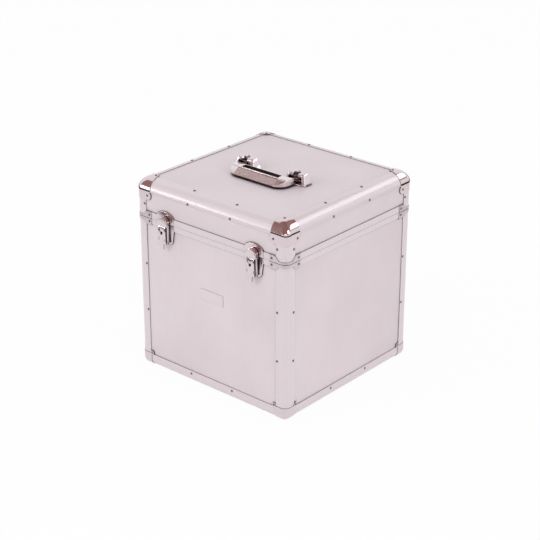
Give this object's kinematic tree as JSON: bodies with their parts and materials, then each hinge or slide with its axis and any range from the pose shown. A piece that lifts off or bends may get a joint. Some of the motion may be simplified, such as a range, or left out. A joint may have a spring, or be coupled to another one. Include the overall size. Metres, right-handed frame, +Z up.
{
  "type": "record carrying case",
  "caption": "Aluminium-edged record carrying case: near-cubic panel box with riveted chrome corners, hinged lid, draw latches and a folding handle.",
  "frame": {"origin": "on the ground under the middle of the box", "axes": "+X to the right seen from the latches, +Y towards the hinges, +Z up"},
  "size_m": [0.3496, 0.36, 0.3855],
  "materials": {
    "panel_laminate": "satin silver laminate on fibreboard",
    "anodised_extrusion": "satin anodised, finely fluted",
    "chromed_steel": "polished chrome plate",
    "nickelled_steel": "bright nickel plate",
    "foam_lining": "black felted foam",
    "badge_sheet": "satin sheet, blank",
    "grip_plastic": "black moulded plastic"
  },
  "bodies": {
    "base": {"badge_plate": "badge_sheet", "base_back_wall": "panel_laminate", "base_floor_panel": "panel_laminate", "base_front_wall": "panel_laminate", "base_hinge_leaves": "nickelled_steel", "base_left_wall": "panel_laminate", "base_lining": "foam_lining", "base_post_back_left": "anodised_extrusion", "base_post_back_right": "anodised_extrusion", "base_post_front_left": "anodised_extrusion", "base_post_front_right": "anodised_extrusion", "base_right_wall": "panel_laminate", "base_rim": "anodised_extrusion", "base_rim_brackets": "chromed_steel", "base_rivets": "nickelled_steel", "bottom_corners": "chromed_steel", "bottom_edge_back": "anodised_extrusion", "bottom_edge_front": "anodised_extrusion", "bottom_edge_left": "anodised_extrusion", "bottom_edge_right": "anodised_extrusion", "hinge_pins": "nickelled_steel", "latch_base_plate_left": "chromed_steel", "latch_base_plate_right": "chromed_steel", "latch_pivot_pins": "nickelled_steel"},
    "lever_left": {"claw_pin_left": "nickelled_steel", "latch_lever_left": "chromed_steel"},
    "lever_right": {"claw_pin_right": "nickelled_steel", "latch_lever_right": "chromed_steel"},
    "handle": {"grip_insert": "grip_plastic", "handle_grip": "chromed_steel"},
    "lid": {"handle_bracket_left": "chromed_steel", "handle_bracket_right": "chromed_steel", "handle_pins": "nickelled_steel", "latch_keeper_plates": "chromed_steel", "lid_back_wall": "panel_laminate", "lid_corner_back_left": "chromed_steel", "lid_corner_back_right": "chromed_steel", "lid_corner_front_left": "chromed_steel", "lid_corner_front_right": "chromed_steel", "lid_front_wall": "panel_laminate", "lid_hinge_leaves": "nickelled_steel", "lid_left_wall": "panel_laminate", "lid_lining": "foam_lining", "lid_posts": "anodised_extrusion", "lid_right_wall": "panel_laminate", "lid_rim": "anodised_extrusion", "lid_rim_brackets": "chromed_steel", "lid_rivets": "nickelled_steel", "lid_top_panel": "panel_laminate", "top_edge_back": "anodised_extrusion", "top_edge_front": "anodised_extrusion", "top_edge_left": "anodised_extrusion", "top_edge_right": "anodised_extrusion"},
    "claw_left": {"latch_claw_left": "chromed_steel"},
    "claw_right": {"latch_claw_right": "chromed_steel"},
    "lock_left": {"lock_cylinder_left": "nickelled_steel"},
    "lock_right": {"lock_cylinder_right": "nickelled_steel"}
  },
  "joints": [
    {"name": "lid_hinge", "type": "hinge", "parent": "base", "child": "lid", "pos_m": [0, 0.175, 0.2945], "axis": [-1, 0, 0], "range_deg": [0, 100]},
    {"name": "handle_fold", "type": "hinge", "parent": "lid", "child": "handle", "pos_m": [0, -0.0135, 0.3715], "axis": [-1, 0, 0], "range_deg": [0, 90]},
    {"name": "lever_left_lift", "type": "hinge", "parent": "base", "child": "lever_left", "pos_m": [-0.103, -0.1785, 0.2882], "axis": [-1, 0, 0], "range_deg": [0, 115]},
    {"name": "claw_left_swing", "type": "hinge", "parent": "lever_left", "child": "claw_left", "pos_m": [-0.103, -0.177, 0.2625], "axis": [-1, 0, 0], "range_deg": [-115, 0]},
    {"name": "lock_left_turn", "type": "hinge", "parent": "lever_left", "child": "lock_left", "pos_m": [-0.103, -0.1785, 0.2805], "axis": [0, 1, 0], "range_deg": [0, 90]},
    {"name": "lever_right_lift", "type": "hinge", "parent": "base", "child": "lever_right", "pos_m": [0.103, -0.1785, 0.2882], "axis": [-1, 0, 0], "range_deg": [0, 115]},
    {"name": "claw_right_swing", "type": "hinge", "parent": "lever_right", "child": "claw_right", "pos_m": [0.103, -0.177, 0.2625], "axis": [-1, 0, 0], "range_deg": [-115, 0]},
    {"name": "lock_right_turn", "type": "hinge", "parent": "lever_right", "child": "lock_right", "pos_m": [0.103, -0.1785, 0.2805], "axis": [0, -1, 0], "range_deg": [0, 90]}
  ],
  "couplings": [
    {"joint": "claw_left_swing", "follows": "lever_left_lift", "ratio": -1},
    {"joint": "claw_right_swing", "follows": "lever_right_lift", "ratio": -1}
  ]
}
